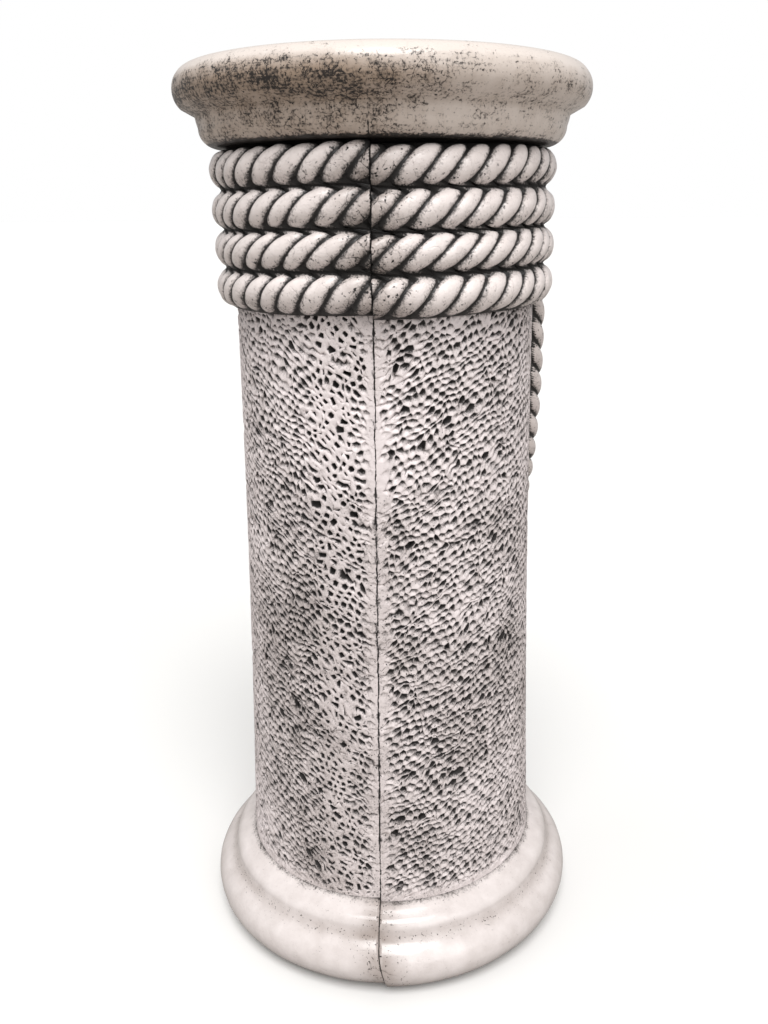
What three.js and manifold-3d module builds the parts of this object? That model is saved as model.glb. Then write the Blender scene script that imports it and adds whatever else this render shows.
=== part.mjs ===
// Cast-stone column with four courses of rope wound round its head.
// Millimetres, +Z up. The origin is the centre of the underside.
// The joint line of the two mould halves faces -Y.

import * as THREE from 'three';
import { mergeVertices } from 'three/addons/utils/BufferGeometryUtils.js';
import Module from 'manifold-3d';

// Overall heights
const HEIGHT = 720;
const FOOT_RADIUS = 148;

// Base: a broad lower roll, a cove and a smaller step moulding above it
const LOWER_ROLL_RADIUS = 170;
const LOWER_ROLL_DEPTH = 33;
const LOWER_ROLL_HEIGHT = 53.5;
const COVE_RADIUS = 18;
const COVE_CENTRE_RADIUS = 168.3;
const COVE_CENTRE_Z = 62.1;
const STEP_RADIUS = 151.5;
const STEP_ROUND = 12.2;
const STEP_TOP_Z = 67;

// Shaft: widens downwards and is slightly waisted
const SHAFT_FOOT_RADIUS = 132;
const SHAFT_FOOT_Z = 72.5;
const SHAFT_HEAD_RADIUS = 117;
const SHAFT_WAIST = 2;
const SHAFT_ROWS = 3;

// Rope courses: each is one twisted rope laid round the head of the shaft
const COURSES = 4;
const COURSE_PITCH = 27.2;
const COURSE_BOTTOM_Z = 557;
const ROPE_RADIUS = 15.6;
const ROPE_CENTRE_RADIUS = 115.6;
const ROPE_VALLEY_RADIUS = 120.5;
const COURSE_STEPS = 4;
const STRANDS_PER_TURN = 41;
const STRAND_LEAN = 1.2;
const STRAND_GROOVE_DEPTH = 3.6;

// Rope tail: hangs down the hidden side from the lowest course
const TAIL_TOP_Z = 570;
const TAIL_DROP = 262;
const TAIL_START_DEG = 101.5;
const TAIL_DRIFT = -0.028;
const TAIL_CURVE = 0.00058;
const TAIL_RADIUS = 13.4;
const TAIL_STRANDS = 3;
const TAIL_STRAND_LENGTH = 19.5;
const TAIL_STEPS_PER_STRAND = 2;
const TAIL_ROUND_LENGTH = 12;

// Cap: a broad lip over a band that is nearly upright and rounded below
const NECK_RADIUS = 119;
const NECK_Z = 667;
const BAND_FOOT_RADIUS = 137.2;
const BAND_ROUND = 13;
const BAND_HEAD_RADIUS = 139.2;
const BAND_HEAD_Z = 688;
const LIP_RADIUS = 154;
const LIP_DEPTH = 15.5;
const LIP_Z = 704.5;
const LIP_HALF = 15.5;

const FINE = STRANDS_PER_TURN * 3;
const COARSE = STRANDS_PER_TURN * 2;

// Radius of the shaft at a height
function shaftRadius(z) {
  const span = COURSE_BOTTOM_Z - SHAFT_FOOT_Z;
  const t = THREE.MathUtils.clamp((z - SHAFT_FOOT_Z) / span, 0, 1);
  const straight = THREE.MathUtils.lerp(SHAFT_FOOT_RADIUS, SHAFT_HEAD_RADIUS, t);
  return straight - SHAFT_WAIST * 4 * t * (1 - t);
}

// Points round part of an ellipse, angles measured from straight outwards
function rollPoints(centre, z, depth, half, fromDeg, toDeg, steps) {
  const points = [];
  for (let i = 0; i <= steps; i += 1) {
    const angle = THREE.MathUtils.degToRad(fromDeg + ((toDeg - fromDeg) * i) / steps);
    const r = centre + depth * Math.cos(angle);
    points.push(new THREE.Vector2(r, z + half * Math.sin(angle)));
  }
  return points;
}

// Base and shaft profile, from the foot up
function lowerProfile() {
  const rollHalf = LOWER_ROLL_HEIGHT / 2;
  const rollCentre = LOWER_ROLL_RADIUS - LOWER_ROLL_DEPTH;
  const points = [new THREE.Vector2(FOOT_RADIUS, 0)];
  points.push(...rollPoints(rollCentre, rollHalf, LOWER_ROLL_DEPTH, rollHalf, -56, 48, 4));
  points.push(...rollPoints(COVE_CENTRE_RADIUS, COVE_CENTRE_Z, COVE_RADIUS, COVE_RADIUS, 232, 197, 2));
  const stepCentre = STEP_RADIUS - STEP_ROUND;
  const stepZ = STEP_TOP_Z - STEP_ROUND;
  points.push(...rollPoints(stepCentre, stepZ, STEP_ROUND, STEP_ROUND, 18, 82, 3));
  for (let i = 0; i <= SHAFT_ROWS; i += 1) {
    const z = THREE.MathUtils.lerp(SHAFT_FOOT_Z, COURSE_BOTTOM_Z, i / SHAFT_ROWS);
    points.push(new THREE.Vector2(shaftRadius(z), z));
  }
  return points;
}

// Cap profile, from the neck up
function upperProfile() {
  const bandCentre = BAND_FOOT_RADIUS - BAND_ROUND;
  const bandZ = NECK_Z + BAND_ROUND;
  const points = [new THREE.Vector2(NECK_RADIUS, NECK_Z)];
  points.push(...rollPoints(bandCentre, bandZ, BAND_ROUND, BAND_ROUND, -75, 0, 3));
  points.push(new THREE.Vector2(BAND_HEAD_RADIUS, BAND_HEAD_Z));
  const lipCentre = LIP_RADIUS - LIP_DEPTH;
  points.push(...rollPoints(lipCentre, LIP_Z, LIP_DEPTH, LIP_HALF, -45, 90, 5));
  return points;
}

// How far a strand's surface lies below its crest, as a part of the groove depth
const STRAND_SAG = [1, 0.09, 0.09];

// One ring of rope vertices: t runs from 0 to 1 up the course
function ropeRing(course, t, turn) {
  const face = THREE.MathUtils.degToRad(-84 + 168 * t);
  const middle = COURSE_BOTTOM_Z + COURSE_PITCH * (course + 0.5);
  const ring = [];
  const inValley = t < 1e-6 || t > 1 - 1e-6;
  for (let j = 0; j < FINE; j += 1) {
    const sag = STRAND_GROOVE_DEPTH * STRAND_SAG[j % 3];
    const rho = ROPE_RADIUS - sag;
    const bulge = ROPE_CENTRE_RADIUS + rho * Math.cos(face);
    const r = inValley ? ROPE_VALLEY_RADIUS - 0.6 * sag : bulge;
    const rise = inValley ? Math.sign(t - 0.5) * COURSE_PITCH * 0.5 : rho * Math.sin(face);
    const a = (2 * Math.PI * j) / FINE + turn;
    ring.push(new THREE.Vector3(r * Math.sin(a), -r * Math.cos(a), middle + rise));
  }
  return ring;
}

// One plain ring of a moulding
function plainRing(point, count, turn) {
  const ring = [];
  for (let j = 0; j < count; j += 1) {
    const a = (2 * Math.PI * j) / count + turn;
    ring.push(new THREE.Vector3(point.x * Math.sin(a), -point.x * Math.cos(a), point.y));
  }
  return ring;
}

// Closed surface through a stack of rings, with flat ends
function stackGeometry(rings, bottomCentre, topCentre) {
  const positions = [];
  const index = [];
  const starts = [];
  for (const ring of rings) {
    starts.push(positions.length / 3);
    for (const p of ring) {
      positions.push(p.x, p.y, p.z);
    }
  }
  for (let k = 0; k + 1 < rings.length; k += 1) {
    const nLow = rings[k].length;
    const nHigh = rings[k + 1].length;
    let i = 0;
    let j = 0;
    while (i < nLow || j < nHigh) {
      const low = starts[k] + (i % nLow);
      const high = starts[k + 1] + (j % nHigh);
      const advanceLow = j >= nHigh || (i < nLow && (i + 1) / nLow <= (j + 1) / nHigh);
      if (advanceLow) {
        index.push(low, starts[k] + ((i + 1) % nLow), high);
        i += 1;
      } else {
        index.push(low, starts[k + 1] + ((j + 1) % nHigh), high);
        j += 1;
      }
    }
  }
  const first = rings[0].length;
  const bottom = positions.length / 3;
  positions.push(bottomCentre.x, bottomCentre.y, bottomCentre.z);
  for (let i = 0; i < first; i += 1) {
    index.push(bottom, starts[0] + ((i + 1) % first), starts[0] + i);
  }
  const last = rings[rings.length - 1].length;
  const lastStart = starts[rings.length - 1];
  const top = positions.length / 3;
  positions.push(topCentre.x, topCentre.y, topCentre.z);
  for (let i = 0; i < last; i += 1) {
    index.push(top, lastStart + i, lastStart + ((i + 1) % last));
  }
  const geometry = new THREE.BufferGeometry();
  geometry.setAttribute('position', new THREE.Float32BufferAttribute(positions, 3));
  geometry.setIndex(index);
  return geometry;
}

// Base, shaft, rope courses and cap as one surface
function columnGeometry() {
  const rings = [];
  for (const point of lowerProfile()) {
    rings.push(plainRing(point, COARSE, 0));
  }
  const strandAngle = (2 * Math.PI) / STRANDS_PER_TURN;
  for (let course = 0; course < COURSES; course += 1) {
    const first = course === 0 ? 0 : 1;
    for (let step = first; step <= COURSE_STEPS; step += 1) {
      const t = step / COURSE_STEPS;
      const turn = strandAngle * STRAND_LEAN * (course + t);
      rings.push(ropeRing(course, t, turn));
    }
  }
  const endTurn = strandAngle * STRAND_LEAN * COURSES;
  for (const point of upperProfile()) {
    rings.push(plainRing(point, COARSE, endTurn));
  }
  const foot = new THREE.Vector3(0, 0, 0);
  const crown = new THREE.Vector3(0, 0, HEIGHT);
  return stackGeometry(rings, foot, crown);
}

// Centre line of the hanging tail, half sunk in the shaft
function tailPoint(drop) {
  const z = TAIL_TOP_Z - drop;
  const hang = Math.max(drop - (TAIL_TOP_Z - COURSE_BOTTOM_Z), 0);
  const degrees = TAIL_START_DEG + TAIL_DRIFT * hang + TAIL_CURVE * hang * hang;
  const a = THREE.MathUtils.degToRad(degrees);
  const r = shaftRadius(z) + 0.6;
  return new THREE.Vector3(r * Math.sin(a), -r * Math.cos(a), z);
}

// The hanging tail: a three-strand rope with a rounded end
function tailGeometry() {
  const steps = Math.round((TAIL_DROP / TAIL_STRAND_LENGTH) * TAIL_STEPS_PER_STRAND);
  const around = TAIL_STRANDS * 3;
  const rings = [];
  for (let i = steps; i >= 0; i -= 1) {
    const drop = (TAIL_DROP * i) / steps;
    const centre = tailPoint(drop);
    const ahead = tailPoint(drop - 1);
    const up = ahead.clone().sub(centre).normalize();
    const outward = new THREE.Vector3(centre.x, centre.y, 0).normalize();
    const side = new THREE.Vector3().crossVectors(up, outward).normalize();
    const out = new THREE.Vector3().crossVectors(side, up).normalize();
    const fromEnd = TAIL_DROP - drop;
    const end = THREE.MathUtils.clamp(fromEnd / TAIL_ROUND_LENGTH, 0, 1);
    const swell = 0.45 + 0.55 * Math.sqrt(1 - (1 - end) * (1 - end));
    const turn = ((drop / TAIL_STRAND_LENGTH) * 2 * Math.PI) / TAIL_STRANDS;
    const ring = [];
    for (let j = 0; j < around; j += 1) {
      const rho = (TAIL_RADIUS - STRAND_GROOVE_DEPTH * STRAND_SAG[j % 3]) * swell;
      const a = (2 * Math.PI * j) / around + turn;
      const p = centre.clone();
      p.addScaledVector(out, rho * Math.cos(a));
      p.addScaledVector(side, rho * Math.sin(a));
      ring.push(p);
    }
    rings.push(ring);
  }
  const low = tailPoint(TAIL_DROP);
  const high = tailPoint(0);
  return stackGeometry(rings, low, high);
}

// A closed geometry as a solid for joining
function toSolid(wasm, geometry) {
  const bare = geometry.clone();
  bare.deleteAttribute('normal');
  bare.deleteAttribute('uv');
  const merged = mergeVertices(bare, 1e-3);
  const mesh = new wasm.Mesh({
    numProp: 3,
    vertProperties: new Float32Array(merged.attributes.position.array),
    triVerts: new Uint32Array(merged.index.array),
  });
  return new wasm.Manifold(mesh);
}

// A joined solid back as a geometry
function toGeometry(solid) {
  const mesh = solid.getMesh();
  const geometry = new THREE.BufferGeometry();
  const positions = new THREE.Float32BufferAttribute(mesh.vertProperties, 3);
  geometry.setAttribute('position', positions);
  geometry.setIndex(new THREE.Uint32BufferAttribute(mesh.triVerts, 1));
  geometry.computeVertexNormals();
  return geometry;
}

const wasm = await Module();
wasm.setup();

const body = toSolid(wasm, columnGeometry());
const tail = toSolid(wasm, tailGeometry());
const joined = body.add(tail);

// Weathered off-white cast stone under a dark wash
const castStone = new THREE.MeshStandardMaterial({
  color: 0xb9b2a8,
  roughness: 0.55,
  metalness: 0,
});

const column = new THREE.Mesh(toGeometry(joined), castStone);
column.name = 'rope_twist_column';

const object = new THREE.Group();
object.add(column);

export default object;
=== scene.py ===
"""Rope twist column: a cast-stone garden column with rope wound round its head."""

import math
import random
from collections import namedtuple

import bmesh
import bpy
from mathutils import Matrix, Vector, noise


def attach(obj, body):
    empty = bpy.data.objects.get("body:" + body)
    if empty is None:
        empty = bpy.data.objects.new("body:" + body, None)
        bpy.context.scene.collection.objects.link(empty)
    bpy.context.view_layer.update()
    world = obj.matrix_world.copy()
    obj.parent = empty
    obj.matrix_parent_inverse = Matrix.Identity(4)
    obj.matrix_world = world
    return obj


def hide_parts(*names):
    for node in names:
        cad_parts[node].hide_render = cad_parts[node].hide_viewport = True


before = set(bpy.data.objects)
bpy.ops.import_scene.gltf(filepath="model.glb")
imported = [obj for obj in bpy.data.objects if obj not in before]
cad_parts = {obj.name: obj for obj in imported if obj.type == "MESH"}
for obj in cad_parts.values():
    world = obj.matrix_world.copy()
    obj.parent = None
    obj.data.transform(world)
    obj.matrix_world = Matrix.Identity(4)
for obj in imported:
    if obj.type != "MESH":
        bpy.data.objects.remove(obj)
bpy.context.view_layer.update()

# All sizes are in metres. Angles round the column are from its front, -Y, towards +X
MM = 0.001
HEIGHT = 720 * MM
TINY = 1e-6

# Spin steps of the mouldings, and the radius within which nothing shows
TURN_STEPS = 300
HIDDEN_RADIUS = 100 * MM

# Base: a lower roll, a cove and a step moulding on a flat underside
FOOT_RING_RADIUS = 80 * MM
FOOT_RADIUS = 148 * MM
FOOT_ROUND = 6 * MM
FOOT_LIFT = 0.5 * MM
FOOT_FLAT_Z = 0.1 * MM
FOOT_LEAST_Z = 0.2 * MM
ROLL_RADIUS = 170 * MM
ROLL_DEPTH = 33 * MM
ROLL_HEIGHT = 53.5 * MM
COVE_RADIUS = 18 * MM
COVE_CENTRE_RADIUS = 168.3 * MM
COVE_CENTRE_Z = 62.1 * MM
COVE_BOTTOM_Z = 52 * MM
STEP_RADIUS = 151.5 * MM
STEP_ROUND = 12.2 * MM
STEP_TOP_Z = 67 * MM
STEP_INNER_RADIUS = 139.2 * MM
STEP_INNER_Z = 68.6 * MM

# Shaft, and how far the base runs up and in behind it
SHAFT_FOOT_RADIUS = 132 * MM
SHAFT_FOOT_Z = 72.5 * MM
SHAFT_HEAD_RADIUS = 117 * MM
SHAFT_WAIST = 2 * MM
SHAFT_LEDGE = 0.5 * MM
SHAFT_SEAT_RISE = 1 * MM
SHAFT_SEAT_DEPTH = 5 * MM

# Rope courses, from the lowest up, as arcs round a ring
COURSES = 4
COURSE_PITCH = 27.2 * MM
COURSE_BOTTOM_Z = 557 * MM
COURSE_TOP_Z = COURSE_BOTTOM_Z + COURSES * COURSE_PITCH
LOWEST_EDGE_DEG = -80
COURSE_EDGE_DEG = 61
ARC_STEPS = 15
ROPE_RADIUS = 15.6 * MM
ROPE_CENTRE_RADIUS = 115.6 * MM
ROPE_CORE_RADIUS = 100 * MM
VALLEY_RISE = 1.5 * MM
BELOW_COURSES = 2 * MM
ABOVE_COURSES = 1 * MM

# Strands of the courses: how far each leans over its course, and how uneven they are
STRANDS_PER_TURN = 41
STRAND_STEPS = 12
STRAND_GROOVE = 4.4 * MM
STRAND_WIDTH = 1.01
STRAND_PINCH = 0.14
COURSE_LEANS = (1.15, 1.4, 1.2, 1.1)
COURSE_OFFSET = 0.37
RIGHT_OFFSET = 0.45
STRAND_SHIFT = 0.09
PLUMP_RANGE_MM = (-0.7, 0.3)
EDGE_ROUND = 0.9 * MM
STRAND_DRIFT = 0.8 * MM
STRAND_DENT = 0.35 * MM

# Hanging tail, with its drift back round the column in degrees for each mm that it hangs
TAIL_TOP_Z = 570 * MM
TAIL_DROP = 262 * MM
TAIL_START_DEG = 101.5
TAIL_DRIFT = -0.028
TAIL_CURVE = 0.00058
TAIL_RADIUS = 13.4 * MM
TAIL_PROUD = 0.6 * MM
TAIL_STRANDS = 3
TAIL_STRAND_WIDTH = 0.95
TAIL_STRAND_LENGTH = 19.5 * MM
TAIL_RINGS_PER_STRAND = 10
TAIL_ROUND_LENGTH = 12 * MM
TAIL_END_SHARE = 0.2

# Cap: a band on a hidden neck, under a lip with a flat top
NECK_RADIUS = 119 * MM
NECK_Z = 667 * MM
NECK_DEPTH = 2 * MM
NECK_ROUND = 4 * MM
BAND_FOOT_RADIUS = 137.2 * MM
BAND_ROUND = 13 * MM
BAND_HEAD_RADIUS = 139.2 * MM
BAND_HEAD_Z = 688 * MM
BAND_COVE_DEPTH = 0.8 * MM
BAND_COVE_DROP = 4 * MM
LIP_RADIUS = 154 * MM
LIP_DEPTH = 15.5 * MM
LIP_Z = 704.5 * MM
LIP_HALF = 15.5 * MM
TOP_RINGS = (120 * MM, 60 * MM, 0)

# Mould joint: the two halves met near x = 0, the right one a little lower at the front
FOOT_SLIP = 4 * MM
HEAD_SLIP = 2.6 * MM
SLIP_FALL = 1.5
JOINT_TURN_FOOT_DEG = 0.35
JOINT_TURN_HEAD_DEG = 0.95
JOINT_TURN_ROLL_DEG = 2.3
JOINT_HALF_WIDTH = 0.8 * MM
JOINT_DEPTH = 0.9 * MM
JOINT_SWING = 0.8
CAP_JOINT_DEPTH = 0.5 * MM
CAP_JOINT_HEIGHT = 10 * MM
JOINT_GAP = 0.05 * MM
ON_JOINT = 1e-5

# Unevenness of the casting: long waves with short ones on them
LONG_WAVE = 45 * MM
SHORT_WAVE = 12 * MM
SHORT_SHARE = 0.4
BASE_WAVES = 0.45 * MM
CAP_WAVES = 0.4 * MM

# Pecked pits on the shaft, in rows that climb from the joint round both sides. Each is a scoop or,
# in its band, a round hole. A cell with MERGED_CORNERS or more is two run together, and stays long
PITS_AROUND = 124
PIT_ROW_HEIGHT = 5.4 * MM
ROW_SLANT = 0.5
ROW_TURN = 0.75
SCOOP_DEPTH = 3.2 * MM
HOLE_DEPTH = 4.0 * MM
HOLE_CHANCE = 0.75
HALF_HOLE = 0.3
SCOOP_ROUNDNESS = 0.45
MERGED_CORNERS = 8
RIDGE_WAVES = 0.4 * MM
FURROW_DEPTH = 1.0 * MM
BACK_PITS_DEG = 115
INSET_STEP_MM = 0.1

# How far the pits stray from even rows, in half columns and in rows, and how many run together
STRAY_LENGTHS = (13 * MM, 40 * MM)
STRAY_TURNS = (1.5, 1.4)
STRAY_RISES = (0.9, 1.0)
LOOSE_TURN = 1.1
LOOSE_RISE = 0.5
LONGEST_RUN = 3
BESIDE_CHANCE = 0.16
ABOVE_CHANCE = 0.03

# Ground without pits: a strip beside the joint and one above the base
JOINT_STRIP = (2 * MM, 12 * MM)
FOOT_STRIP = (1 * MM, 12 * MM)
STRIP_WANDER = 6 * MM

# Band of round holes left of the joint, in degrees
HOLE_BAND_DEG = -15
HOLE_BAND_WANDER = 4
HOLE_BAND_EDGE = (6, 12)

# Furrows: pits in line, climbing away from the joint on both sides
RIGHT_FURROW_DEG = 22
LEFT_FURROW_DEG = -28
FURROW_STRETCH = 3.5
FURROW_WIDTH = 5.5 * MM

# Width of the ridge left round a pit and of the wall inside it, for a scoop and for a hole
RIDGE_WIDTHS = (0.16, 0.36)
WALL_WIDTHS = (0.34, 0.22)

# Rings of a pit from the mouth in, with each pair for a scoop and for a round hole. Radius and rise
# are shares of the cell's radius, and depths are shares of the pit's depth. A scoop was struck from
# below, so it is deeper towards its upper edge; it is also painted darker there, as painted shade of
# light from above: the tilts say by how much
MOUTH = {
    "radius": (0.84, 0.7), "rise": (0, 0),
    "scoop_depth": 0.2, "depth_tilt": 0.14, "hole_depth": 0.1,
    "scoop_shade": 0.2, "shade_tilt": 0.6, "least_shade": 0, "hole_shade": 0.12,
}
FLOOR = {
    "radius": (0.56, 0.52), "rise": (0.2, 0.05),
    "scoop_depth": 0.4, "depth_tilt": 0.5, "hole_depth": 0.75,
    "scoop_shade": 0.42, "shade_tilt": 0.9, "least_shade": 0.08, "hole_shade": 1.0,
}

Pit = namedtuple("Pit", "hole strength depth z angle size roundness")


def smooth_step(low, high, value):
    """0 up to low, 1 from high on, and smooth between; low may be the larger."""
    t = min(max((value - low) / (high - low), 0), 1)
    return t * t * (3 - 2 * t)


def near(distance, reach):
    """1 at no distance, and fading away beyond a reach."""
    return math.exp(-((distance / reach) ** 2))


def blend(a, b, t):
    """Value t of the way from a to b."""
    return a + (b - a) * t


def grain(point, wavelength, seed=0):
    """Smooth noise, about -1 to 1, with bumps of a given size in metres."""
    return noise.noise(Vector(point) / wavelength + Vector((seed, 2 * seed, 3 * seed)))


def shaft_radius(z):
    """Radius of the shaft at a height."""
    span = COURSE_BOTTOM_Z - SHAFT_FOOT_Z
    t = min(max((z - SHAFT_FOOT_Z) / span, 0), 1)
    return blend(SHAFT_FOOT_RADIUS, SHAFT_HEAD_RADIUS, t) - SHAFT_WAIST * 4 * t * (1 - t)


def roll(centre, z, depth, half, start, end, steps):
    """Points round part of an ellipse, angles in degrees from straight outwards."""
    points = []
    for i in range(steps + 1):
        angle = math.radians(blend(start, end, i / steps))
        points.append((centre + depth * math.cos(angle), z + half * math.sin(angle)))
    return points


def around(point):
    """Angle of a point round the column."""
    return math.atan2(point[0], -point[1])


def place(vert, angle, radius, z):
    """Puts a vertex at an angle, radius and height."""
    vert.co = (radius * math.sin(angle), -radius * math.cos(angle), z)


def sink(vert, depth):
    """Moves a vertex straight towards the column's axis."""
    radius = vert.co.xy.length
    vert.co.xy *= (radius - depth) / radius


def slip(x, y, z):
    """How far the slipped mould halves lift a point on the left and drop one on the right."""
    if abs(x) < TINY:
        return 0
    size = blend(FOOT_SLIP, HEAD_SLIP, z / HEIGHT)
    side = -1 if x > 0 else 1
    return 0.5 * size * side * (1 - SLIP_FALL * abs(x) / math.hypot(x, y))


def spin_round(points, steps, closed=False):
    """A turned body from a profile; a closed one joins its last point to its first."""
    bm = bmesh.new()
    verts = [bm.verts.new((0, -r, z)) for r, z in points]
    following = verts[1:] + verts[:1] if closed else verts[1:]
    edges = [bm.edges.new(pair) for pair in zip(verts, following)]
    bmesh.ops.spin(
        bm, geom=verts + edges, cent=(0, 0, 0), axis=(0, 0, 1),
        angle=math.tau, steps=steps, use_merge=True,
    )
    bmesh.ops.remove_doubles(bm, verts=bm.verts, dist=TINY)
    bmesh.ops.recalc_face_normals(bm, faces=bm.faces)
    return bm


def everything(bm):
    """All of a mesh, as the cutting operator takes it."""
    return list(bm.verts) + list(bm.edges) + list(bm.faces)


def score(bm, x, keep=0):
    """Cuts a line through the mesh at x; keep 1 or -1 takes away the other side."""
    cut = bmesh.ops.bisect_plane(
        bm, geom=everything(bm), dist=TINY, plane_co=(x, 0, 0), plane_no=(keep or 1, 0, 0),
        clear_inner=keep != 0,
    )
    return {v for v in cut["geom_cut"] if isinstance(v, bmesh.types.BMVert)}


def score_joint(bm):
    """Cuts the lines that the joint's groove is pressed along."""
    for x in (-JOINT_HALF_WIDTH, 0, JOINT_HALF_WIDTH):
        score(bm, x)


def close_holes(bm):
    """Fills each open edge with a face."""
    bmesh.ops.holes_fill(bm, edges=[e for e in bm.edges if e.is_boundary], sides=0)


def joint_depth(y, z, mean, length):
    """Depth of the joint's groove, which comes and goes along it."""
    return JOINT_DEPTH * (mean + JOINT_SWING * grain((0, y, z), length))


def joint_turn(z):
    """Angle of the mould joint at a height; it wanders, and runs off over the roll."""
    degrees = blend(JOINT_TURN_FOOT_DEG, JOINT_TURN_HEAD_DEG, z / HEIGHT)
    degrees += JOINT_TURN_ROLL_DEG * (1 - smooth_step(5 * MM, COVE_BOTTOM_Z, z))
    wander = 0.4 * grain((0, 0, z), 22 * MM)
    shake = 0.15 * grain((0, 0, z), 5 * MM)
    return math.radians(degrees + wander + shake)


def finish_mesh(bm, name, material, turned=True):
    """Makes the object of a finished bmesh, turned so that its joint wanders as the mould's did."""
    if turned:
        for v in bm.verts:
            place(v, around(v.co) + joint_turn(v.co.z), v.co.xy.length, v.co.z)
    bmesh.ops.recalc_face_normals(bm, faces=bm.faces)
    mesh = bpy.data.meshes.new(name)
    bm.to_mesh(mesh)
    bm.free()
    mesh.materials.append(material)
    mesh.shade_smooth()
    piece = bpy.data.objects.new(name, mesh)
    bpy.context.scene.collection.objects.link(piece)
    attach(piece, "root")
    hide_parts("rope_twist_column")


def stain_and_shade_layers(bm):
    """The two vertex values that the materials read: hollows and soiled areas, both also carrying
    painted shade.
    """
    return bm.verts.layers.float.new("hollow_and_shade"), bm.verts.layers.float.new("soil_and_shade")


def waves(point, size):
    """Uneven casting, never proud of the drawn surface."""
    short_wave = SHORT_SHARE * grain(point, SHORT_WAVE)
    return size * (grain(point, LONG_WAVE) + short_wave - (1 + SHORT_SHARE))


def base_profile():
    """Outline of the base from the middle of its underside to the middle of its top."""
    half = ROLL_HEIGHT / 2
    step_z = STEP_TOP_Z - STEP_ROUND
    top_z = SHAFT_FOOT_Z + SHAFT_SEAT_RISE
    points = [(0, 0), (FOOT_RING_RADIUS, 0), (FOOT_RADIUS - FOOT_ROUND, 0), (FOOT_RADIUS, FOOT_LIFT)]
    points += roll(
        ROLL_RADIUS - ROLL_DEPTH, half, ROLL_DEPTH, half, start=-62, end=48, steps=24
    )
    points += roll(
        COVE_CENTRE_RADIUS, COVE_CENTRE_Z, COVE_RADIUS, COVE_RADIUS, start=234, end=197, steps=7
    )
    points += roll(
        STEP_RADIUS - STEP_ROUND, step_z, STEP_ROUND, STEP_ROUND, start=18, end=66, steps=9
    )
    points += [(STEP_INNER_RADIUS, STEP_INNER_Z), (SHAFT_FOOT_RADIUS + SHAFT_LEDGE, top_z)]
    points += [(SHAFT_FOOT_RADIUS - SHAFT_SEAT_DEPTH, top_z), (0, top_z)]
    return points


def base_piece(material):
    """Lower roll and step moulding: dirt and painted shade below, painted shade in the cove, and
    soil beside the joint.
    """
    bm = spin_round(base_profile(), TURN_STEPS)
    hollow_and_shade, soil_and_shade = stain_and_shade_layers(bm)
    score_joint(bm)
    for v in bm.verts:
        x, y, z = v.co
        radius = math.hypot(x, y)
        if radius < HIDDEN_RADIUS or z < FOOT_FLAT_Z:
            continue
        edge = smooth_step(0, 8 * MM, z)
        sink(v, -waves(v.co, BASE_WAVES) * edge)
        # Below, near the floor, the base is darkened partly by dirt and partly as painted shade, and
        # in the cove as painted shade.
        in_cove = 1 - smooth_step(0, 8 * MM, abs(z - COVE_BOTTOM_Z))
        at_shaft = 1 - smooth_step(0.5 * MM, 2.5 * MM, radius - SHAFT_FOOT_RADIUS)
        under = 1 - smooth_step(2 * MM, 22 * MM, z)
        near_joint = near(x, 16 * MM)
        v[hollow_and_shade] = 0.6 * at_shaft
        v[soil_and_shade] = 0.22 + 0.6 * under + 0.45 * near_joint + 0.25 * in_cove
        if abs(x) < ON_JOINT:
            sink(v, joint_depth(y, z, mean=0.7, length=15 * MM))
            v[hollow_and_shade] = 1
        v.co.z = max(z + slip(x, y, z) * edge, FOOT_LEAST_Z)
    finish_mesh(bm, "column_base", material)


def cap_profile():
    """Outline of the cap from the middle of its underside to the middle of its top."""
    neck_foot_z = NECK_Z - NECK_DEPTH
    points = [(0, neck_foot_z), (NECK_RADIUS - NECK_ROUND, neck_foot_z), (NECK_RADIUS, NECK_Z)]
    points += roll(
        BAND_FOOT_RADIUS - BAND_ROUND, NECK_Z + BAND_ROUND, BAND_ROUND, BAND_ROUND,
        start=-80, end=0, steps=12,
    )
    points.append((BAND_HEAD_RADIUS - BAND_COVE_DEPTH, BAND_HEAD_Z - BAND_COVE_DROP))
    points.append((BAND_HEAD_RADIUS, BAND_HEAD_Z))
    points += roll(LIP_RADIUS - LIP_DEPTH, LIP_Z, LIP_DEPTH, LIP_HALF, start=-45, end=90, steps=26)
    points += [(radius, HEIGHT) for radius in TOP_RINGS]
    return points


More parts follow.
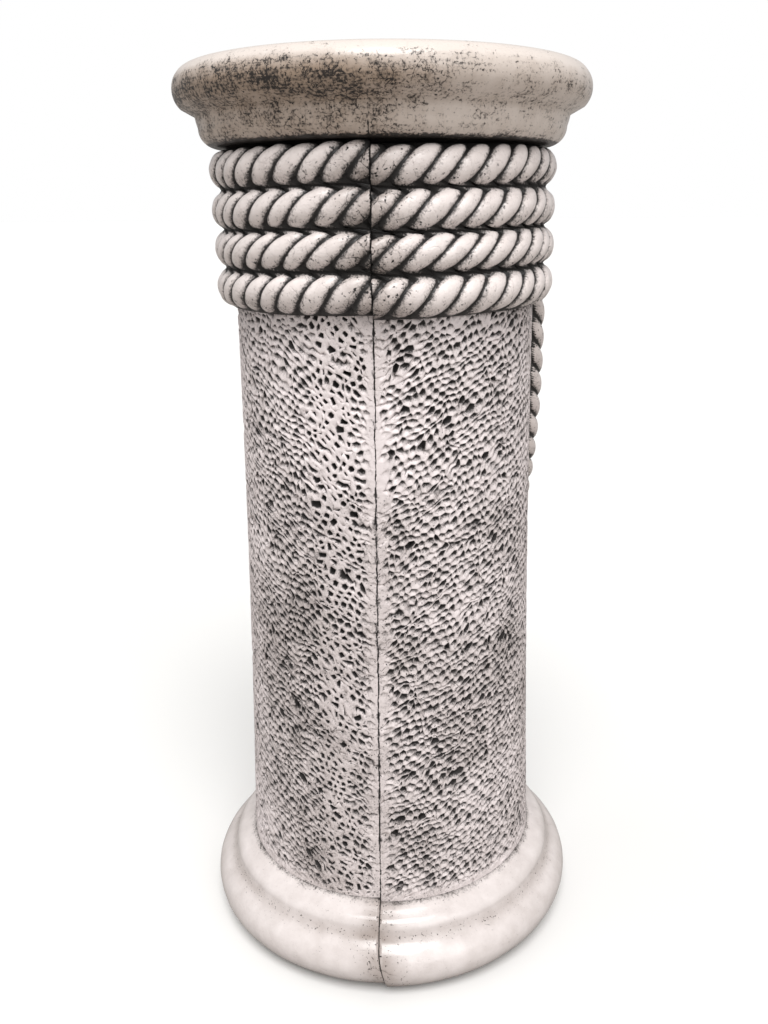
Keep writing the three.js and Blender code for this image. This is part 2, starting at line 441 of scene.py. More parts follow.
def cap_piece(material):
    """Lip of the cap over its band, washed on the left, with the lower lip darker and the shoulder
    lighter, partly stain and partly painted light, and painted shade in the cove and underneath.
    """
    bm = spin_round(cap_profile(), TURN_STEPS)
    hollow_and_shade, soil_and_shade = stain_and_shade_layers(bm)
    score_joint(bm)
    for v in bm.verts:
        x, y, z = v.co
        radius = math.hypot(x, y)
        if radius < HIDDEN_RADIUS:
            v[soil_and_shade] = 0.35
            continue
        edge = smooth_step(0, 6 * MM, HEIGHT - z)
        sink(v, -waves(v.co, CAP_WAVES) * edge)
        degrees = math.degrees(around(v.co))
        wash_side = 0.2 + 0.8 * smooth_step(28, -8, degrees) * smooth_step(-180, -130, degrees)
        # The lip is darker on its lower part and lighter on its shoulder, partly stain and partly
        # painted light and shade from above; the cove and the underside over the ropes get painted
        # shade.
        shoulder = smooth_step(708 * MM, 716 * MM, z)
        lower_lip = smooth_step(0, 10 * MM, z - BAND_HEAD_Z)
        lower_lip *= 1 - smooth_step(0, 12 * MM, z - 698 * MM)
        from_cove = math.hypot(radius - BAND_HEAD_RADIUS, z - BAND_HEAD_Z)
        cove = 1 - smooth_step(0.5 * MM, 4 * MM, from_cove)
        under = 1 - smooth_step(0, 3.5 * MM, z - NECK_Z)
        wash_and_shade = (0.2 + 0.5 * wash_side) * (1 - 0.95 * shoulder)
        v[soil_and_shade] = wash_and_shade + (0.1 + 0.25 * wash_side) * lower_lip
        v[soil_and_shade] += 0.15 * cove + 0.3 * under
        # Painted shadow: the underside of the band is dark over the top course.
        v[hollow_and_shade] = under
        if abs(x) < ON_JOINT and z < NECK_Z + CAP_JOINT_HEIGHT:
            sink(v, CAP_JOINT_DEPTH)
            v[hollow_and_shade] = 1
    finish_mesh(bm, "column_cap", material)


def strand_height(u, width):
    """Height of a strand, 1 on its crest and 0 in the groove; u runs from -0.5 to 0.5."""
    return math.sqrt(max(1 - (2 * u / width) ** 2, 0))


def course_middle(course):
    """Height of the middle of a rope course."""
    return COURSE_BOTTOM_Z + COURSE_PITCH * (course + 0.5)


def low_edge(course):
    """Angle at which the arc of a course starts; the lowest one turns in towards the shaft."""
    return LOWEST_EDGE_DEG if course == 0 else -COURSE_EDGE_DEG


def rope_profile():
    """Outline of the courses, from the hidden core below them to the core above."""
    points = [(ROPE_CORE_RADIUS, COURSE_BOTTOM_Z - BELOW_COURSES)]
    for course in range(COURSES):
        middle = course_middle(course)
        points += roll(
            ROPE_CENTRE_RADIUS, middle, ROPE_RADIUS, ROPE_RADIUS,
            start=low_edge(course), end=COURSE_EDGE_DEG, steps=ARC_STEPS,
        )
        if course < COURSES - 1:
            points.append((ROPE_CENTRE_RADIUS + VALLEY_RISE, middle + COURSE_PITCH / 2))
    points.append((ROPE_CORE_RADIUS, COURSE_TOP_Z + ABOVE_COURSES))
    return points


def per_strand(dice, low, high):
    """A random value for every strand of every course."""
    return [[dice.uniform(low, high) for _ in range(STRANDS_PER_TURN)] for _ in range(COURSES)]


def rope_half(side):
    """One mould half of the rope courses, side 1 for +X and -1 for -X."""
    all_steps = STRANDS_PER_TURN * STRAND_STEPS
    bm = spin_round(rope_profile(), all_steps, closed=True)
    hollow_and_shade, soil_and_shade = stain_and_shade_layers(bm)
    strand_angle = math.tau / STRANDS_PER_TURN
    half_offset = RIGHT_OFFSET if side > 0 else 0
    dice = random.Random(7 if side > 0 else 3)
    shifts = per_strand(dice, -STRAND_SHIFT, STRAND_SHIFT)
    plumps = per_strand(dice, *PLUMP_RANGE_MM)
    for v in bm.verts:
        radius = v.co.xy.length
        if radius < ROPE_CORE_RADIUS + 1 * MM:
            continue
        z = v.co.z
        course = min(max(int((z - COURSE_BOTTOM_Z) / COURSE_PITCH), 0), COURSES - 1)
        middle = course_middle(course)
        face = math.atan2(z - middle, radius - ROPE_CENTRE_RADIUS)
        low_end = low_edge(course)
        climb = min(max((math.degrees(face) - low_end) / (COURSE_EDGE_DEG - low_end), 0), 1)
        ends = abs(climb - 0.5) * 2
        step = round(around(v.co) / strand_angle * STRAND_STEPS) % all_steps
        strand, part = divmod(step, STRAND_STEPS)
        share = part / STRAND_STEPS
        next_shift = shifts[course][(strand + 1) % STRANDS_PER_TURN]
        turned = strand + share + blend(shifts[course][strand], next_shift, share)
        turned += COURSE_LEANS[course] * climb ** 1.2 + COURSE_OFFSET * course + half_offset
        turned *= strand_angle
        spot = (math.sin(turned), -math.cos(turned), z)
        drift = STRAND_DRIFT * grain(spot, 0.5, seed=course)
        is_valley = radius < ROPE_CENTRE_RADIUS + 2 * VALLEY_RISE
        # The valley between courses is fully dark: wash, and painted shade in the gap.
        if is_valley:
            place(v, turned, radius, z + drift)
            v[hollow_and_shade] = 1
            continue
        height = strand_height(share - 0.5, STRAND_WIDTH - STRAND_PINCH * ends ** 3)
        dent = STRAND_DENT * grain((radius * spot[0], radius * spot[1], z), 7 * MM, seed=side)
        rho = ROPE_RADIUS - STRAND_GROOVE * (1 - height) - EDGE_ROUND * ends ** 4
        rho += plumps[course][strand] * MM * height + dent * height
        radius = ROPE_CENTRE_RADIUS + rho * math.cos(face)
        place(v, turned, radius, middle + rho * math.sin(face) + drift)
        # Painted shade: the lower face of each course is darkened. The grooves' wash is widened to
        # paint their shadow too.
        low_side = smooth_step(0.2, -0.9, math.sin(face)) if face < 0.2 else 0
        v[hollow_and_shade] = min(1, (1 - height) ** 1.2 + 0.9 * ends ** 10 + 0.12 * low_side)
        v[soil_and_shade] = 0.15 + 0.55 * near(v.co.x, 22 * MM) + 0.2 * low_side
    for v in bm.verts:
        v.co.z += slip(side * max(abs(v.co.x), MM), v.co.y, v.co.z)
    score(bm, side * JOINT_HALF_WIDTH)
    for v in score(bm, side * JOINT_GAP, keep=side):
        if v.co.xy.length > ROPE_CORE_RADIUS + 1 * MM:
            sink(v, JOINT_DEPTH)
            v[hollow_and_shade] = 1
    close_holes(bm)
    return bm


def rope_piece(material):
    """The four courses of rope, as the two mould halves left them."""
    both = rope_half(1)
    left = bpy.data.meshes.new("left_half")
    half = rope_half(-1)
    half.to_mesh(left)
    half.free()
    both.from_mesh(left)
    bpy.data.meshes.remove(left)
    finish_mesh(both, "rope_courses", material)


def tail_point(drop):
    """Centre line of the hanging tail, by the height that it has come down."""
    z = TAIL_TOP_Z - drop
    hang = max(drop - (TAIL_TOP_Z - COURSE_BOTTOM_Z), 0) / MM
    angle = math.radians(TAIL_START_DEG + TAIL_DRIFT * hang + TAIL_CURVE * hang * hang)
    radius = shaft_radius(z) + TAIL_PROUD
    return Vector((radius * math.sin(angle), -radius * math.cos(angle), z))


def tail_piece(material):
    """The hanging rope tail, half sunk in the shaft."""
    round_steps = TAIL_STRANDS * STRAND_STEPS
    rings = round(TAIL_DROP / TAIL_STRAND_LENGTH * TAIL_RINGS_PER_STRAND)
    bm = bmesh.new()
    hollow_and_shade, soil_and_shade = stain_and_shade_layers(bm)
    circle = bmesh.ops.create_circle(bm, segments=round_steps, radius=TAIL_RADIUS, cap_ends=True)
    rows = [circle["verts"]]
    face = bm.faces[:][0]
    for _ in range(rings):
        grown = bmesh.ops.extrude_face_region(bm, geom=[face], use_keep_orig=len(rows) == 1)
        if len(rows) > 1:
            bmesh.ops.delete(bm, geom=[face], context="FACES_ONLY")
        face = next(g for g in grown["geom"] if isinstance(g, bmesh.types.BMFace))
        rows.append(list(face.verts))
    for i, row in enumerate(rows):
        drop = TAIL_DROP * i / rings
        centre = tail_point(drop)
        up = (tail_point(drop - MM) - centre).normalized()
        outward = Vector((centre.x, centre.y, 0)).normalized()
        side = up.cross(outward).normalized()
        out = side.cross(up).normalized()
        end = min((TAIL_DROP - drop) / TAIL_ROUND_LENGTH, 1)
        swell = TAIL_END_SHARE + (1 - TAIL_END_SHARE) * math.sqrt(1 - (1 - end) ** 2)
        turn = drop / TAIL_STRAND_LENGTH * math.tau / TAIL_STRANDS
        for j, v in enumerate(row):
            height = strand_height(j / STRAND_STEPS % 1 - 0.5, TAIL_STRAND_WIDTH)
            angle = math.tau * j / round_steps + turn
            rho = (TAIL_RADIUS - STRAND_GROOVE * (1 - height)) * swell
            v.co = centre + out * (rho * math.cos(angle)) + side * (rho * math.sin(angle))
            # Wash and painted shade in the crease where the tail meets the shaft.
            meets_shaft = rho * math.cos(angle) < 1 * MM
            v[hollow_and_shade] = min(1, (1 - height) ** 1.4 + 0.8 * meets_shaft)
            v[soil_and_shade] = 0.4
    finish_mesh(bm, "rope_tail", material, turned=False)


def pit_strength(angle, z):
    """How deeply the shaft is pecked: smooth by the joint and at the foot."""
    arc = abs(math.sin(angle)) * shaft_radius(z)
    wander = STRIP_WANDER * grain((angle, 0, z), 16 * MM, seed=7)
    joint = smooth_step(*JOINT_STRIP, arc + wander)
    foot = smooth_step(*FOOT_STRIP, z - SHAFT_FOOT_Z)
    patch = 1 + 0.35 * grain((math.sin(angle), math.cos(angle), z * 8), 0.4, seed=2)
    return joint * foot * patch


def hole_share(angle, z):
    """1 where the pits are round holes in smooth ground, in a band left of the joint."""
    wander = HOLE_BAND_WANDER * grain((0, 0, z), 50 * MM, seed=5)
    off = abs(math.degrees(angle) - HOLE_BAND_DEG + wander)
    return 1 - smooth_step(*HOLE_BAND_EDGE, off)


def furrow(angle, z):
    """0 to 1 where neighbouring pits run together into slanting furrows."""
    arc = angle * shaft_radius(z)
    slant = math.radians(RIGHT_FURROW_DEG if angle > 0 else LEFT_FURROW_DEG)
    along = arc * math.cos(slant) + z * math.sin(slant)
    across = z * math.cos(slant) - arc * math.sin(slant)
    return smooth_step(0.02, 0.4, grain((along / FURROW_STRETCH, across, 0), FURROW_WIDTH, seed=4))


def row_climb(angle):
    """Height that the slanting rows of pits have gained at an angle, the same on both sides."""
    return ROW_SLANT * SHAFT_HEAD_RADIUS * math.sin(ROW_TURN * abs(angle)) / ROW_TURN


def stray(middle, sizes, seeds):
    """How far a pit strays from its row, with its neighbours near and far."""
    short, long = (grain(middle, length, seed) for length, seed in zip(STRAY_LENGTHS, seeds))
    return sizes[0] * short + sizes[1] * long


def brick_tube(bottom, top):
    """A tube of even cells laid like bricks, with each cell's row."""
    start = bottom - row_climb(math.pi / 2 / ROW_TURN) - 2 * PIT_ROW_HEIGHT
    row_count = math.ceil((top - start) / PIT_ROW_HEIGHT) + 2
    chain = [(SHAFT_FOOT_RADIUS, start + PIT_ROW_HEIGHT * i) for i in range(row_count + 1)]
    bm = spin_round(chain, PITS_AROUND * 2)

    def column_and_row(v):
        column = around(v.co) / (math.pi / PITS_AROUND)
        return round(column), round((v.co.z - start) / PIT_ROW_HEIGHT)

    spare = []
    for e in bm.edges:
        (column, row), (other_column, other_row) = (column_and_row(v) for v in e.verts)
        if column == other_column and (column + min(row, other_row)) % 2:
            spare.append(e)
    bmesh.ops.dissolve_edges(bm, edges=spare, use_verts=False)
    rows = {
        f: round((f.calc_center_median().z - start) / PIT_ROW_HEIGHT - 0.5) for f in bm.faces
    }
    return bm, rows


def join_cells(bm, rows, dice):
    """Lets some cells run into a neighbour, mostly into the next in their row."""
    run = {f: 1 for f in bm.faces}
    seams = []
    for e in bm.edges:
        if len(e.link_faces) < 2:
            continue
        first, second = e.link_faces
        beside = rows[first] == rows[second]
        length = run[first] + run[second]
        chance = BESIDE_CHANCE if beside else ABOVE_CHANCE
        if length <= (LONGEST_RUN if beside else 2) and dice.random() < chance:
            run[first] = run[second] = length if beside else LONGEST_RUN
            seams.append(e)
    bmesh.ops.dissolve_edges(bm, edges=seams, use_verts=False)


def honeycomb(dice):
    """A tube of uneven six-sided cells, one for each pit."""
    bottom = SHAFT_FOOT_Z - 4 * MM
    top = COURSE_BOTTOM_Z + 5 * MM
    bm, rows = brick_tube(bottom, top)
    centres = {}
    for f in bm.faces:
        middle = f.calc_center_median()
        drift = stray(middle, STRAY_TURNS, seeds=(1, 6))
        rise = stray(middle, STRAY_RISES, seeds=(2, 7))
        half_pit = math.pi / PITS_AROUND
        angle = around(middle) + half_pit * (dice.uniform(-LOOSE_TURN, LOOSE_TURN) + drift)
        z = middle.z + PIT_ROW_HEIGHT * (dice.uniform(-LOOSE_RISE, LOOSE_RISE) + rise)
        centres[f] = (angle, z + row_climb(angle))
    for v in bm.verts:
        beside = [centres[f] for f in v.link_faces]
        across = sum(math.sin(a) for a, _ in beside)
        angle = math.atan2(across, sum(math.cos(a) for a, _ in beside))
        z = sum(h for _, h in beside) / len(beside)
        wave = RIDGE_WAVES * abs(grain(v.co, 25 * MM, seed=3))
        place(v, angle, shaft_radius(z) - wave, z)
    join_cells(bm, rows, dice)
    for height, up in ((bottom, 1), (top, -1)):
        bmesh.ops.bisect_plane(
            bm, geom=everything(bm), dist=TINY, plane_co=(0, 0, height), plane_no=(0, 0, up),
            clear_inner=True,
        )
    return bm


def inset_by_size(bm, sizes):
    """Insets each face by its own distance, to the nearest step, so that few calls do them all."""
    groups = {}
    for face, size in sizes.items():
        groups.setdefault(max(round(size / (INSET_STEP_MM * MM)), 1), []).append(face)
    for steps, faces in sorted(groups.items()):
        bmesh.ops.inset_individual(
            bm, faces=faces, thickness=steps * INSET_STEP_MM * MM, depth=0, use_even_offset=False
        )


def cell_radius(face):
    """Radius of a circle as large as a face."""
    return math.sqrt(face.calc_area() / math.pi)


def make_round(face, radius, share):
    """Moves the corners of a face part of the way to a circle."""
    centre = face.calc_center_median()
    for v in face.verts:
        offset = v.co - centre
        v.co = centre + offset.lerp(offset.normalized() * radius, share)


def draw_pit(face, dice):
    """Decides what pit a cell of the shaft holds."""
    middle = face.calc_center_median()
    angle = around(middle)
    hole = hole_share(angle, middle.z) * (1 if dice.random() < HOLE_CHANCE else HALF_HOLE)
    strength = pit_strength(angle, middle.z) * dice.uniform(0.75, 1.15)
    depth = strength * blend(SCOOP_DEPTH, HOLE_DEPTH, hole)
    roundness = max(hole, SCOOP_ROUNDNESS if len(face.verts) < MERGED_CORNERS else 0)
    return Pit(hole, strength, depth, middle.z, angle, cell_radius(face), roundness)


def press_ring(faces, pits, ring, hollow_and_shade):
    """Presses inset faces in, as one ring of each face's pit."""
    for f in faces:
        pit = pits[f]
        make_round(f, blend(*ring["radius"], pit.hole) * pit.size, pit.roundness)
        for v in f.verts:
            upper = (v.co.z - pit.z) / pit.size
            scoop_depth = ring["scoop_depth"] + ring["depth_tilt"] * upper
            # The shade tilt darkens a scoop towards its upper edge: painted shade of light from
            # above.
            scoop_shade = max(ring["scoop_shade"] + ring["shade_tilt"] * upper, ring["least_shade"])
            sink(v, pit.depth * blend(scoop_depth, ring["hole_depth"], pit.hole))
            v.co.z += pit.size * blend(*ring["rise"], pit.hole)
            v[hollow_and_shade] = min(pit.strength, 1) * blend(scoop_shade, ring["hole_shade"], pit.hole)


def press_middles(bm, cells, hollow_and_shade):
    """Gives each pit a point in its middle, half as deep again as the ring round it."""
    poked = bmesh.ops.poke(bm, faces=cells)
    for v in poked["verts"]:
        ring = [e.other_vert(v) for e in v.link_edges]
        radius = sum(n.co.xy.length for n in ring) / len(ring)
        depth = 0.5 * max(shaft_radius(v.co.z) - radius, 0)
        v.co.xy *= (radius - depth) / v.co.xy.length
        v[hollow_and_shade] = min(1, sum(n[hollow_and_shade] for n in ring) / len(ring))


def pecked_tube():
    """The whole shaft with its pits, closed above and below."""
    dice = random.Random(41)
    bm = honeycomb(dice)
    hollow_and_shade, soil_and_shade = stain_and_shade_layers(bm)
    for v in bm.verts:
        angle = around(v.co)
        strength = min(pit_strength(angle, v.co.z), 1)
        run = furrow(angle, v.co.z) * strength * (1 - hole_share(angle, v.co.z))
        sink(v, FURROW_DEPTH * run)
        v[hollow_and_shade] = 0.3 * run
    cells = list(bm.faces)
    pits = {f: draw_pit(f, dice) for f in cells}
    ridges = {}
    for f in cells:
        ridges[f] = pits[f].size * blend(*RIDGE_WIDTHS, pits[f].hole) * dice.uniform(0.8, 1.2)
    inset_by_size(bm, ridges)
    press_ring(cells, pits, MOUTH, hollow_and_shade)
    # The pits at the back are a guess, so they are plainer, without a floor ring
    front = [f for f in cells if abs(pits[f].angle) < math.radians(BACK_PITS_DEG)]
    inset_by_size(bm, {f: cell_radius(f) * blend(*WALL_WIDTHS, pits[f].hole) for f in front})
    press_ring(front, pits, FLOOR, hollow_and_shade)
    press_middles(bm, cells, hollow_and_shade)
    for v in bm.verts:
        sink(v, max(v.co.xy.length - shaft_radius(v.co.z), 0))
        left_patch = near(math.degrees(around(v.co)) + 32, 20)
        left_patch *= smooth_step(450 * MM, 300 * MM, v.co.z)
        v[soil_and_shade] = 0.24 + 0.25 * grain(v.co, 70 * MM, seed=9) + 0.2 * left_patch
        # Painted shade: the shaft is painted darker towards its foot.
        v[soil_and_shade] += 0.17 * smooth_step(500 * MM, 250 * MM, v.co.z)
    close_holes(bm)
    return bm


def shaft_pieces(material):
    """The pecked shaft, as two mould halves with the joint's groove between them."""
    bm = pecked_tube()
    for side, name in ((-1, "shaft_left_half"), (1, "shaft_right_half")):
        half = bm.copy()
        hollow_and_shade = half.verts.layers.float["hollow_and_shade"]
        for v in score(half, side * JOINT_HALF_WIDTH):
            v[hollow_and_shade] = max(v[hollow_and_shade], 0.1 + 0.8 * grain(v.co, 9 * MM))
        for v in score(half, side * JOINT_GAP, keep=side):
            if v.co.xy.length > SHAFT_HEAD_RADIUS - 8 * MM:
                sink(v, joint_depth(v.co.y, v.co.z, mean=0.8, length=14 * MM))
                v[hollow_and_shade] = 1
        close_holes(half)
        finish_mesh(half, name, material)
    bm.free()


def linear(hex_colour):
    """An sRGB hex colour as linear RGBA."""
    channels = [int(hex_colour[i:i + 2], 16) / 255 for i in (1, 3, 5)]
    straight = [c / 12.92 if c <= 0.04045 else ((c + 0.055) / 1.055) ** 2.4 for c in channels]
    return (*straight, 1)


def add(tree, kind, inputs=None, **settings):
    """Adds a node with its settings; an input takes a value or another node's socket."""
    node = tree.nodes.new(kind)
    for key, value in settings.items():
        setattr(node, key, value)
    for key, value in (inputs or {}).items():
        if isinstance(value, bpy.types.NodeSocket):
            tree.links.new(value, node.inputs[key])
        else:
            node.inputs[key].default_value = value
    return node


# Sizes of the mark patterns that every finish shares: wash that ran round the mouldings in
# streaks a fourteenth as high as they are long, and the bends of the cracks
STREAK_MM = 26
STREAK_FLATNESS = 14
BEND_MM = 5
NOISE_ROUGHNESS = 0.62
HOLLOW_AND_SHADE_WEIGHT = 0.75
FULLEST_WASH = 0.98


def washed_and_shaded_stone(name, light, shade, wash_and_shade, finish):
    """Painted cast stone with a dark wash left in its hollows, cracks, specks and soiled areas, and
    painted shade wherever the hollow and soil values carry it.
    """
    material = bpy.data.materials.new(name)
    material.use_nodes = True
    tree = material.node_tree
    tree.nodes.clear()
    spot = add(tree, "ShaderNodeTexCoord").outputs["Object"]
    hollow_and_shade = add(tree, "ShaderNodeAttribute", attribute_name="hollow_and_shade").outputs["Fac"]
    soil_and_shade = add(tree, "ShaderNodeAttribute", attribute_name="soil_and_shade").outputs["Fac"]

    blotches = add(tree, "ShaderNodeTexNoise", {
        "Vector": spot, "Scale": 1000 / finish["blotch_mm"], "Detail": 6,
        "Roughness": NOISE_ROUGHNESS,
    }).outputs["Fac"]
    grit = add(tree, "ShaderNodeTexNoise", {
        "Vector": spot, "Scale": 1000 / finish["grit_mm"], "Detail": 4,
        "Roughness": NOISE_ROUGHNESS,
    }).outputs["Fac"]
    flat_spot = add(tree, "ShaderNodeMapping", {
        "Vector": spot, "Scale": (1, 1, STREAK_FLATNESS),
    }).outputs[0]
    streaks = add(tree, "ShaderNodeTexNoise", {
        "Vector": flat_spot, "Scale": 1000 / STREAK_MM, "Detail": 5,
        "Roughness": NOISE_ROUGHNESS,
    }).outputs["Fac"]
    specked = add(tree, "ShaderNodeTexNoise", {
        "Vector": spot, "Scale": 1000 / finish["speck_mm"], "Detail": 2,
        "Roughness": NOISE_ROUGHNESS,
    }).outputs["Fac"]
    specks = add(tree, "ShaderNodeMapRange", {
        "Value": specked, "From Min": 0.62, "From Max": 0.68,
    }, interpolation_type="SMOOTHSTEP").outputs[0]
    bends = add(tree, "ShaderNodeTexNoise", {
        "Vector": spot, "Scale": 1000 / BEND_MM, "Detail": 4,
    }).outputs["Color"]
    bent_spot = add(tree, "ShaderNodeVectorMath", {
        0: bends, 1: (BEND_MM * MM,) * 3, 2: spot,
    }, operation="MULTIPLY_ADD").outputs[0]
    cells = add(tree, "ShaderNodeTexVoronoi", {
        "Vector": bent_spot, "Scale": 1000 / finish["crack_mm"],
    }, feature="DISTANCE_TO_EDGE").outputs["Distance"]
    cracks = add(tree, "ShaderNodeMapRange", {
        "Value": cells, "From Min": 0.035, "From Max": 0.0,
    }, interpolation_type="SMOOTHSTEP").outputs[0]
    crackled = add(tree, "ShaderNodeMapRange", {
        "Value": blotches, "From Min": 0.43, "From Max": 0.53,
    }, interpolation_type="SMOOTHSTEP").outputs[0]
    some_cracks = add(tree, "ShaderNodeMath", {
        0: cracks, 1: crackled,
    }, operation="MULTIPLY").outputs[0]

    # The wash gathers from every kind of mark, each with its own weight. The hollow and soil values
    # bring painted shade along with the wash
    fine_marks = add(tree, "ShaderNodeMath", {
        0: some_cracks, 1: finish["cracks"], 2: specks,
    }, operation="MULTIPLY_ADD").outputs[0]
    amount = add(tree, "ShaderNodeMath", {
        0: fine_marks, 1: soil_and_shade,
    }, operation="MULTIPLY").outputs[0]
    amount = add(tree, "ShaderNodeMath", {
        0: amount, 1: finish["marks"],
    }, operation="MULTIPLY").outputs[0]
    for source, weight in (
        (hollow_and_shade, HOLLOW_AND_SHADE_WEIGHT), (soil_and_shade, finish["soil_and_shade_weight"]), (blotches, finish["blotch"]),
        (streaks, finish["streaks"]), (grit, finish["grit"]),
    ):
        amount = add(tree, "ShaderNodeMath", {
            0: source, 1: weight, 2: amount,
        }, operation="MULTIPLY_ADD").outputs[0]
    # A noise is about 0.5 on average, so half of each noise's weight is taken off again
    start = finish["dry"] + 0.5 * (finish["blotch"] + finish["streaks"] + finish["grit"])
    washed_and_shaded = add(tree, "ShaderNodeMapRange", {
        "Value": amount, "From Min": start, "From Max": start + finish["softness"],
        "To Max": FULLEST_WASH,
    }, interpolation_type="SMOOTHSTEP").outputs[0]

    # The glaze follows the soil value, so it carries painted shade as well as stain.
    stained_and_shaded = add(tree, "ShaderNodeMath", {
        0: blotches, 1: 0.6, 2: soil_and_shade,
    }, operation="MULTIPLY_ADD").outputs[0]
    glaze = add(tree, "ShaderNodeMapRange", {
        "Value": stained_and_shaded, "From Min": 0.4, "From Max": 1.2,
    }).outputs[0]
    tone = add(tree, "ShaderNodeMix", {
        0: glaze, 6: linear(light), 7: linear(shade),
    }, data_type="RGBA").outputs[2]
    colour = add(tree, "ShaderNodeMix", {
        0: washed_and_shaded, 6: tone, 7: linear(wash_and_shade),
    }, data_type="RGBA").outputs[2]
    # Grit stands up, and specks and cracks are sunk
    relief = add(tree, "ShaderNodeMath", {
        0: specks, 1: -0.5, 2: grit,
    }, operation="MULTIPLY_ADD").outputs[0]
    relief = add(tree, "ShaderNodeMath", {
        0: some_cracks, 1: -0.6, 2: relief,
    }, operation="MULTIPLY_ADD").outputs[0]
    bump = add(tree, "ShaderNodeBump", {
        "Height": relief, "Strength": finish["bump"], "Distance": 0.5 * MM,
    }).outputs[0]
    roughness = add(tree, "ShaderNodeMapRange", {
        "Value": washed_and_shaded, "To Min": finish["roughness"], "To Max": 0.8,
    }).outputs[0]
    shader = add(tree, "ShaderNodeBsdfPrincipled", {
        "Base Color": colour,
        "Normal": bump,
        "Roughness": roughness,
        "IOR": 1.5,
        "Coat Weight": finish["coat"],
        "Coat Roughness": 0.2,
    })
    add(tree, "ShaderNodeOutputMaterial", {"Surface": shader.outputs[0]})
    return material


# In every finish the sand of the casting, really about half a millimetre, is drawn as grit of
# 1.5 to 2 mm, and pinholes as specks of 2 to 2.6 mm, because finer ones don't show in the render

# Pecked face: matt painted concrete, so dark pits, darker on their upper walls as painted shade, and
# pale dry ridges with no shine
pecked_stone = washed_and_shaded_stone("pecked_cast_stone", "#f8edec", "#bfb3ae", "#191615", {
    "blotch_mm": 24, "grit_mm": 1.6, "speck_mm": 2.2, "crack_mm": 16,
    "soil_and_shade_weight": 0.24, "blotch": 0.25, "streaks": 0.0, "grit": 0.6, "cracks": 0.0,
    "marks": 0.6, "dry": 0.06, "softness": 0.42,
    "bump": 0.55, "roughness": 0.4, "coat": 0.0,
})
# Rope: painted, washed nearly black in the grooves, with painted shade there and on the lower faces,
# and sealed, so its crests glint
rope_stone = washed_and_shaded_stone("painted_cast_rope", "#fbf0ec", "#b9aca5", "#0c0a09", {
    "blotch_mm": 9, "grit_mm": 1.5, "speck_mm": 2.6, "crack_mm": 14,
    "soil_and_shade_weight": 0.18, "blotch": 0.4, "streaks": 0.0, "grit": 0.6, "cracks": 0.3,
    "marks": 0.8, "dry": 0.11, "softness": 0.36,
    "bump": 0.7, "roughness": 0.28, "coat": 0.4,
})
# Cap: the wash was left on it and crackled, under a satin sealer, with painted shade under the lip
# and band and a painted lighter top
cap_stone = washed_and_shaded_stone("crackled_cast_moulding", "#f0e4db", "#a8927f", "#1a1411", {
    "blotch_mm": 15, "grit_mm": 2.0, "speck_mm": 2.4, "crack_mm": 7,
    "soil_and_shade_weight": 0.46, "blotch": 1.1, "streaks": 1.1, "grit": 2.0, "cracks": 1.0,
    "marks": 0.8, "dry": 0.2, "softness": 0.6,
    "bump": 0.35, "roughness": 0.3, "coat": 0.4,
})
# Base: wiped almost clean and sealed, so it is pale and glossy with fine specks, and painted shade
# below and in the cove
base_stone = washed_and_shaded_stone("sealed_cast_moulding", "#ebe2df", "#9c8e86", "#2b2521", {
    "blotch_mm": 18, "grit_mm": 1.7, "speck_mm": 2.0, "crack_mm": 30,
    "soil_and_shade_weight": 0.14, "blotch": 0.4, "streaks": 0.25, "grit": 0.5, "cracks": 0.4,
    "marks": 1.1, "dry": 0.2, "softness": 0.45,
    "bump": 0.2, "roughness": 0.22, "coat": 0.45,
})

base_piece(base_stone)
shaft_pieces(pecked_stone)
rope_piece(rope_stone)
tail_piece(rope_stone)
cap_piece(cap_stone)

# The photograph and its camera, worked out from the ellipses of the base, courses and cap. The
# lens looked straight at the pixel at OPTICAL_X and OPTICAL_Y, a little off the picture's middle
PHOTO_WIDTH = 768
PHOTO_HEIGHT = 1024
FOCAL_PX = 925.46
OPTICAL_X = 397.42
OPTICAL_Y = 556.93
SENSOR_MM = 36
CAMERA_TURN_DEG = 4.2
CAMERA_PITCH_DEG = 20.85
CAMERA_LEAN_DEG = -0.48
CAMERA_DISTANCE = 765.36 * MM
CAMERA_HEIGHT = 627.47 * MM
CAMERA_OFFSET = -8.11 * MM

FLOOR_HALF = 40
SKY_LIGHT = 0.45


def pale_floor():
    """Floor that is seen pale, but throws back no more light than the ground outdoors."""
    mesh = bpy.data.meshes.new("floor")
    bm = bmesh.new()
    bmesh.ops.create_grid(bm, x_segments=1, y_segments=1, size=FLOOR_HALF)
    bm.to_mesh(mesh)
    bm.free()
    floor = bpy.data.objects.new("floor", mesh)
    paint = bpy.data.materials.new("pale_floor")
    paint.use_nodes = True
    tree = paint.node_tree
    tree.nodes.clear()
    shown = add(tree, "ShaderNodeBsdfDiffuse", {"Color": linear("#f6f5f3")})
    thrown = add(tree, "ShaderNodeBsdfDiffuse", {"Color": linear("#a5a19d")})
    is_seen = add(tree, "ShaderNodeLightPath").outputs["Is Camera Ray"]
    ground = add(tree, "ShaderNodeMixShader", {
        0: is_seen, 1: thrown.outputs[0], 2: shown.outputs[0],
    })
    add(tree, "ShaderNodeOutputMaterial", {"Surface": ground.outputs[0]})
    mesh.materials.append(paint)
    bpy.context.scene.collection.objects.link(floor)


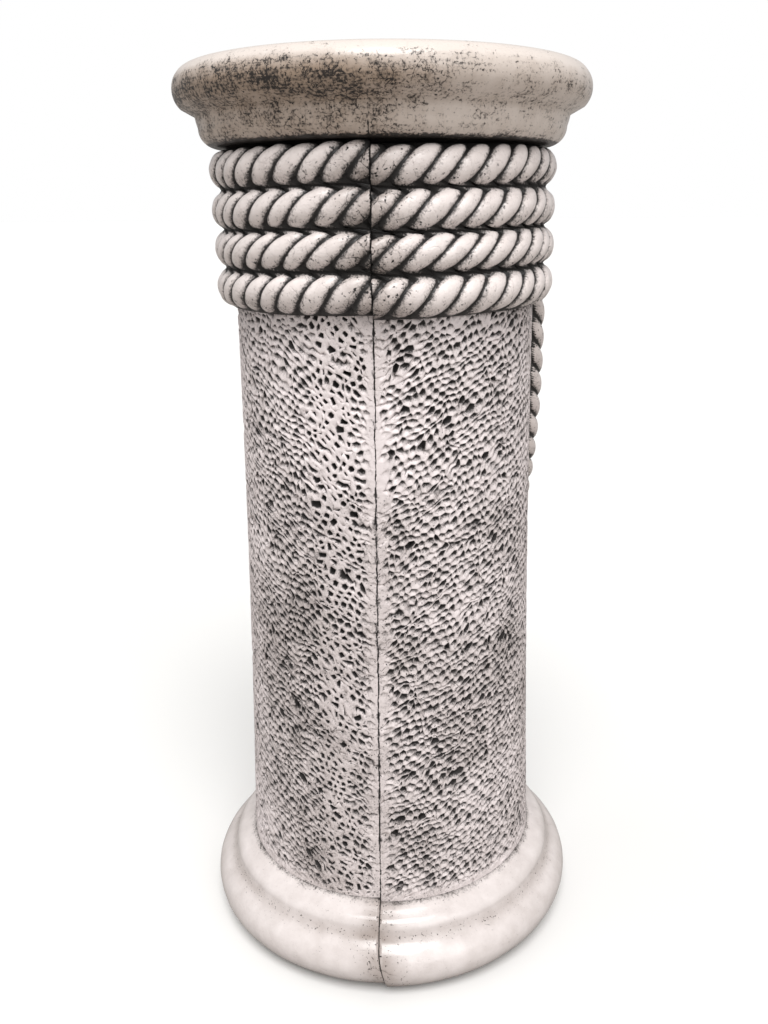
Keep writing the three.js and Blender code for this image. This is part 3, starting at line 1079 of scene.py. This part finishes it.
def white_sky():
    """Surroundings that are seen white and give a weaker, even light."""
    world = bpy.data.worlds.new("studio")
    bpy.context.scene.world = world
    world.use_nodes = True
    tree = world.node_tree
    tree.nodes.clear()
    white = linear("#ffffff")
    soft = add(tree, "ShaderNodeBackground", {"Color": white, "Strength": SKY_LIGHT})
    seen = add(tree, "ShaderNodeBackground", {"Color": white, "Strength": 1.0})
    is_seen = add(tree, "ShaderNodeLightPath").outputs["Is Camera Ray"]
    both = add(tree, "ShaderNodeMixShader", {0: is_seen, 1: soft.outputs[0], 2: seen.outputs[0]})
    add(tree, "ShaderNodeOutputWorld", {"Surface": both.outputs[0]})


def soft_sun(name, direction_deg, height_deg, spread_deg, strength):
    """A wide, soft light from a direction round the column and a height above the floor."""
    light = bpy.data.lights.new(name, "SUN")
    light.angle = math.radians(spread_deg)
    light.energy = strength
    lamp = bpy.data.objects.new(name, light)
    turn = math.radians(direction_deg)
    rise = math.radians(height_deg)
    level = math.cos(rise)
    towards = Vector((math.sin(turn) * level, -math.cos(turn) * level, math.sin(rise)))
    lamp.rotation_euler = towards.to_track_quat("Z", "Y").to_euler()
    bpy.context.scene.collection.objects.link(lamp)


def photograph_camera():
    """The camera that took the photograph."""
    lens = bpy.data.cameras.new("camera")
    lens.sensor_width = SENSOR_MM
    lens.lens = FOCAL_PX * SENSOR_MM / PHOTO_HEIGHT
    lens.clip_start = 0.05
    lens.shift_x = (PHOTO_WIDTH / 2 - OPTICAL_X) / PHOTO_HEIGHT
    lens.shift_y = (OPTICAL_Y - PHOTO_HEIGHT / 2) / PHOTO_HEIGHT
    camera = bpy.data.objects.new("camera", lens)
    azimuth = math.radians(CAMERA_TURN_DEG)
    pitch = math.radians(CAMERA_PITCH_DEG)
    lean = math.radians(CAMERA_LEAN_DEG)
    right = Vector((math.cos(azimuth), math.sin(azimuth), 0))
    forward = Vector((-math.sin(azimuth), math.cos(azimuth), 0))
    where = -forward * CAMERA_DISTANCE - right * CAMERA_OFFSET
    where.z = CAMERA_HEIGHT
    look = forward * math.cos(pitch) + Vector((0, 0, -math.sin(pitch)))
    basis = look.to_track_quat("-Z", "Y").to_matrix().to_4x4()
    camera.matrix_world = Matrix.Translation(where) @ basis @ Matrix.Rotation(lean, 4, "Z")
    bpy.context.scene.collection.objects.link(camera)
    bpy.context.scene.camera = camera


pale_floor()
white_sky()
soft_sun("overhead", direction_deg=5, height_deg=62, spread_deg=30, strength=2.0)
soft_sun("front", direction_deg=30, height_deg=30, spread_deg=40, strength=0.7)
soft_sun("left_fill", direction_deg=-75, height_deg=35, spread_deg=60, strength=0.3)
photograph_camera()
bpy.context.scene.view_settings.view_transform = "Standard"
